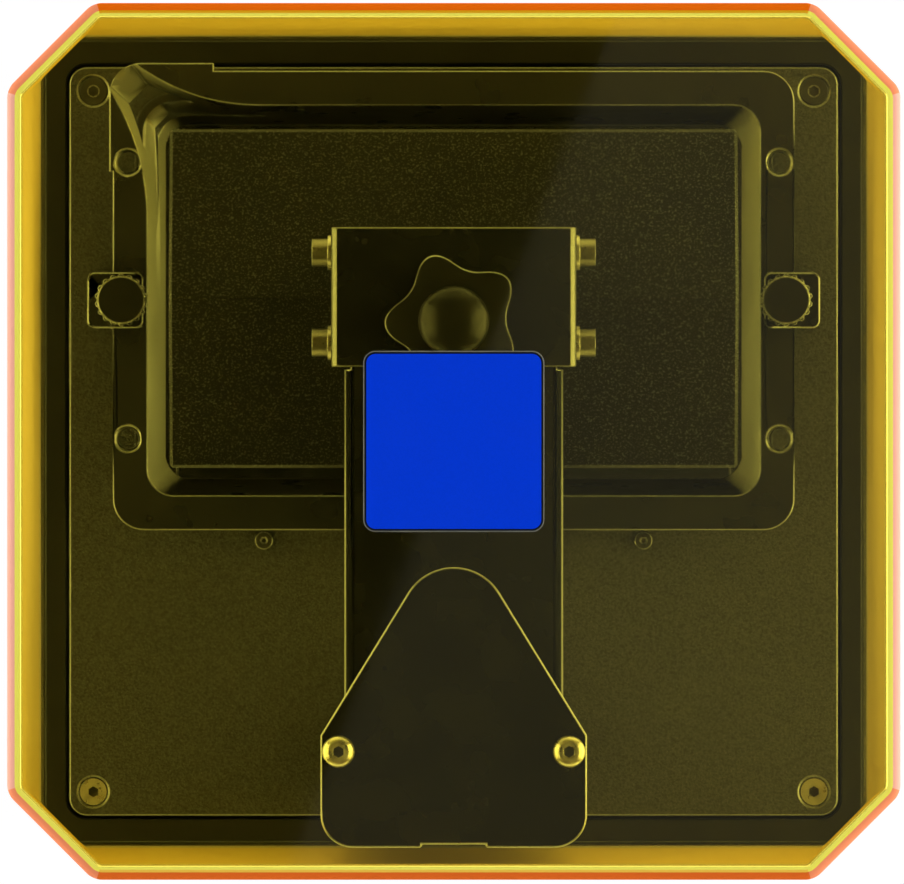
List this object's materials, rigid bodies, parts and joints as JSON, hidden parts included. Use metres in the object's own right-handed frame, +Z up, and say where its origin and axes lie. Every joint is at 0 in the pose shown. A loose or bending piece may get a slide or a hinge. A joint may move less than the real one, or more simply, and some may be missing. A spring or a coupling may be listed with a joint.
{
  "type": "resin printer",
  "caption": "Desktop resin printer with a lift-off amber cover, a screw-driven build platform on a rear column, a resin vat over an exposure screen, and a base with its electronics.",
  "frame": {"origin": "on the table under the middle of the base", "axes": "+Z up; the front with the touch screen faces -Y and the lift column stands at +Y; +X is the right-hand side for someone in front"},
  "size_m": [0.22, 0.216, 0.4033],
  "materials": {
    "housing": "fine textured powder coat",
    "rubber": "matt",
    "frame_black": "matt",
    "deck": "sand-textured powder coat",
    "screw_steel": "zinc plated",
    "screw_black": "black oxide",
    "screen": "polished",
    "tunnel": "matt",
    "lens": "clear",
    "board": "satin",
    "chip": "satin",
    "aluminium": "milled",
    "plate_aluminium": "blasted",
    "vat_anodised": "black anodised",
    "film": "clear",
    "black_coat": "satin black powder coat",
    "knob": "satin",
    "steel": "ground",
    "brass": "turned",
    "fitting": "satin",
    "rocker": "polished",
    "shell_metal": "plated",
    "amber": "polished, clear",
    "label": "gloss"
  },
  "bodies": {
    "base": {"base_housing": "housing", "bottom_plate": "housing", "rubber_feet": "rubber", "cover_seat_frame": "frame_black", "deck_plate": "deck", "deck_screws": "screw_steel", "vat_stop_screws": "screw_black", "lcd_panel": "screen", "light_tunnel": "tunnel", "led_board": "board", "led_chips": "chip", "lens_array": "lens", "heat_sink": "aluminium", "vat_frame": "vat_anodised", "release_film": "film", "film_frame": "aluminium", "vat_clamp_left": "black_coat", "vat_clamp_right": "black_coat", "z_column": "black_coat", "column_screws": "screw_black", "column_cap": "black_coat", "cap_screws": "screw_steel", "linear_rail": "steel", "z_motor": "black_coat", "screw_bearing": "steel", "bearing_holder": "aluminium", "limit_sensor": "fitting", "touch_screen": "screen", "display_module": "fitting", "mainboard": "board", "board_standoffs": "brass", "fan_frame": "fitting", "rear_panel": "housing", "power_inlet": "fitting", "switch_body": "fitting", "usb_port": "shell_metal", "usb_board": "board"},
    "cover": {"cover_shell": "amber", "cover_label": "label"},
    "carriage": {"rail_truck": "steel", "carriage_plate": "aluminium", "z_arm": "black_coat", "arm_bolts": "screw_black", "lead_nut": "brass", "sensor_flag": "black_coat", "platform_yoke": "black_coat"},
    "platform": {"mount_block": "aluminium", "build_plate": "plate_aluminium", "platform_side_bolts": "screw_steel", "side_washers": "screw_steel"},
    "knob": {"platform_knob": "knob"},
    "screw": {"lead_screw": "steel"},
    "fan": {"fan_rotor": "fitting"},
    "thumb_left": {"thumbscrew_left": "knob"},
    "thumb_right": {"thumbscrew_right": "knob"},
    "rocker": {"switch_rocker": "rocker"}
  },
  "joints": [
    {"name": "cover_lift", "type": "slide", "parent": "base", "child": "cover", "axis": [0, 0, 1], "range_m": [0, 0.28]},
    {"name": "z_travel", "type": "slide", "parent": "base", "child": "carriage", "axis": [0, 0, 1], "range_m": [-0.075, 0.08]},
    {"name": "lead_screw_spin", "type": "hinge", "parent": "base", "child": "screw", "pos_m": [0, 0.06, 0.25], "axis": [0, 0, 1], "range_deg": [-6840, 7290]},
    {"name": "platform_level", "type": "hinge", "parent": "carriage", "child": "platform", "pos_m": [0, -0.0364, 0.24785], "axis": [1, 0, 0], "range_deg": [-1, 1]},
    {"name": "knob_turn", "type": "hinge", "parent": "carriage", "child": "knob", "pos_m": [0, -0.0302, 0.27], "axis": [0, 0, 1], "range_deg": [0, 1440]},
    {"name": "thumb_left_turn", "type": "hinge", "parent": "base", "child": "thumb_left", "pos_m": [-0.0856, -0.0364, 0.178], "axis": [0, 0, 1], "range_deg": [0, 1080]},
    {"name": "thumb_right_turn", "type": "hinge", "parent": "base", "child": "thumb_right", "pos_m": [0.0856, -0.0364, 0.178], "axis": [0, 0, 1], "range_deg": [0, 1080]},
    {"name": "power_rocker", "type": "hinge", "parent": "base", "child": "rocker", "pos_m": [0.052, 0.101, 0.066], "axis": [1, 0, 0], "range_deg": [0, 16]},
    {"name": "fan_spin", "type": "hinge", "parent": "base", "child": "fan", "pos_m": [-0.048, 0.098, 0.062], "axis": [0, 1, 0], "continuous": true}
  ],
  "couplings": [
    {"joint": "lead_screw_spin", "follows": "z_travel", "rad_per_m": 1570.8}
  ]
}
